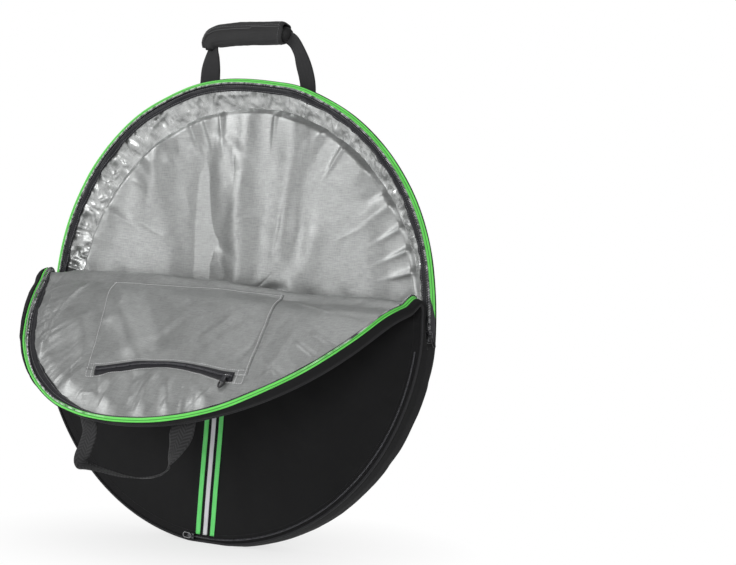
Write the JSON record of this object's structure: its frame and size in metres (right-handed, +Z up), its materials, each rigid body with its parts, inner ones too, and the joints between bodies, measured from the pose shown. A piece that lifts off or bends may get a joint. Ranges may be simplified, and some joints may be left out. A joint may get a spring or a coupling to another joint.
{
  "type": "bike wheel bag",
  "caption": "Round padded bag that holds one bicycle wheel, with a zip round its rim, a front flap that folds down, an inner pocket and webbing handles.",
  "frame": {"origin": "on the floor, in the middle of the flattened bottom, under the plane of the main zip", "axes": "+X to the right seen from the front, +Y to the back of the bag, +Z up"},
  "size_m": [0.8114, 0.3552, 0.8919],
  "materials": {
    "outer_cloth": "matt woven cloth",
    "lining_cloth": "satin silver ripstop",
    "foam": "matt foam sheet",
    "edge_trim": "matt tape and cord",
    "green_tape": "matt woven tape",
    "reflective_ribbon": "satin ribbon",
    "zip_coil": "satin coil",
    "dark_metal": "semi-gloss dark",
    "webbing": "matt twill webbing"
  },
  "bodies": {
    "bag_body": {"front_panel": "outer_cloth", "back_panel": "outer_cloth", "gusset_lower": "outer_cloth", "gusset_upper": "outer_cloth", "gusset_end_right": "outer_cloth", "gusset_end_left": "outer_cloth", "front_lining": "lining_cloth", "back_lining": "lining_cloth", "gusset_lower_lining": "lining_cloth", "gusset_upper_lining": "lining_cloth", "front_padding": "foam", "back_padding": "foam", "piping_back": "edge_trim", "piping_front": "edge_trim", "zip_binding_body": "edge_trim", "zip_tape_body": "green_tape", "zip_tape_end_right": "green_tape", "zip_tape_end_left": "green_tape", "stripe_left": "green_tape", "stripe_right": "green_tape", "stripe_middle": "reflective_ribbon", "zip_coil_body": "zip_coil", "zip_coil_end_right": "zip_coil", "zip_coil_end_left": "zip_coil", "seam_zip_coil": "zip_coil", "zip_stop_right": "dark_metal", "zip_stop_left": "dark_metal", "handle_tab_left": "webbing", "handle_tab_right": "webbing"},
    "flap": {"flap_panel": "outer_cloth", "flap_padding": "foam", "flap_lining": "lining_cloth", "flap_gusset": "outer_cloth", "flap_gusset_lining": "lining_cloth", "piping_flap": "edge_trim", "zip_tape_flap": "green_tape", "zip_coil_flap": "zip_coil", "zip_binding_flap": "edge_trim", "pocket_panel": "lining_cloth", "pocket_zip_tape": "edge_trim", "pocket_zip_coil": "zip_coil", "flap_stripe_left": "green_tape", "flap_stripe_middle": "reflective_ribbon", "flap_stripe_right": "green_tape", "flap_handle_tab_left": "webbing", "flap_handle_tab_right": "webbing"},
    "slider_right": {"slider_right": "dark_metal"},
    "slider_left": {"slider_left": "dark_metal"},
    "pull_right": {"pull_right": "dark_metal"},
    "pull_left": {"pull_left": "dark_metal"},
    "pocket_slider": {"pocket_slider": "dark_metal"},
    "pocket_pull": {"pocket_pull": "edge_trim"},
    "seam_slider": {"seam_slider": "dark_metal"},
    "seam_pull": {"seam_pull": "dark_metal"},
    "back_handle": {"back_handle_strap": "webbing", "back_handle_grip": "outer_cloth"},
    "front_handle": {"front_handle_strap": "webbing"}
  },
  "joints": [
    {"name": "flap_fold", "type": "hinge", "parent": "bag_body", "child": "flap", "pos_m": [0, -0.0273, 0.45], "axis": [1, 0, 0], "range_deg": [-133.5, 0]},
    {"name": "slider_right_travel", "type": "hinge", "parent": "bag_body", "child": "slider_right", "pos_m": [0, 0, 0.397], "axis": [0, 1, 0], "range_deg": [-91.9, 0]},
    {"name": "slider_left_travel", "type": "hinge", "parent": "bag_body", "child": "slider_left", "pos_m": [0, 0, 0.397], "axis": [0, 1, 0], "range_deg": [0, 91.9]},
    {"name": "pull_right_swing", "type": "hinge", "parent": "slider_right", "child": "pull_right", "pos_m": [0.39735, 0, 0.37618], "axis": [0, 1, 0], "range_deg": [-70, 0]},
    {"name": "pull_left_swing", "type": "hinge", "parent": "slider_left", "child": "pull_left", "pos_m": [-0.39735, 0, 0.37618], "axis": [0, 1, 0], "range_deg": [0, 70]},
    {"name": "pocket_slider_travel", "type": "slide", "parent": "flap", "child": "pocket_slider", "axis": [1, 0, 0], "range_m": [-0.26, 0]},
    {"name": "pocket_pull_swing", "type": "hinge", "parent": "pocket_slider", "child": "pocket_pull", "pos_m": [0.1525, -0.21032, 0.29886], "axis": [1, 0, 0], "range_deg": [-170, 0]},
    {"name": "seam_slider_travel", "type": "hinge", "parent": "bag_body", "child": "seam_slider", "pos_m": [0, 0, 0.397], "axis": [0, 1, 0], "range_deg": [-86, 0]},
    {"name": "seam_pull_swing", "type": "hinge", "parent": "seam_slider", "child": "seam_pull", "pos_m": [-0.03386, -0.0336, 0.00998], "axis": [0.0872, 0, 0.9962], "range_deg": [0, 170]},
    {"name": "back_handle_tilt", "type": "hinge", "parent": "bag_body", "child": "back_handle", "pos_m": [0, 0.048, 0.73387], "axis": [1, 0, 0], "range_deg": [-150, 0], "stiffness_Nm_per_rad": 0.6},
    {"name": "front_handle_swing", "type": "hinge", "parent": "flap", "child": "front_handle", "pos_m": [0, -0.23839, 0.24389], "axis": [1, 0, 0], "range_deg": [-38, 125]}
  ]
}
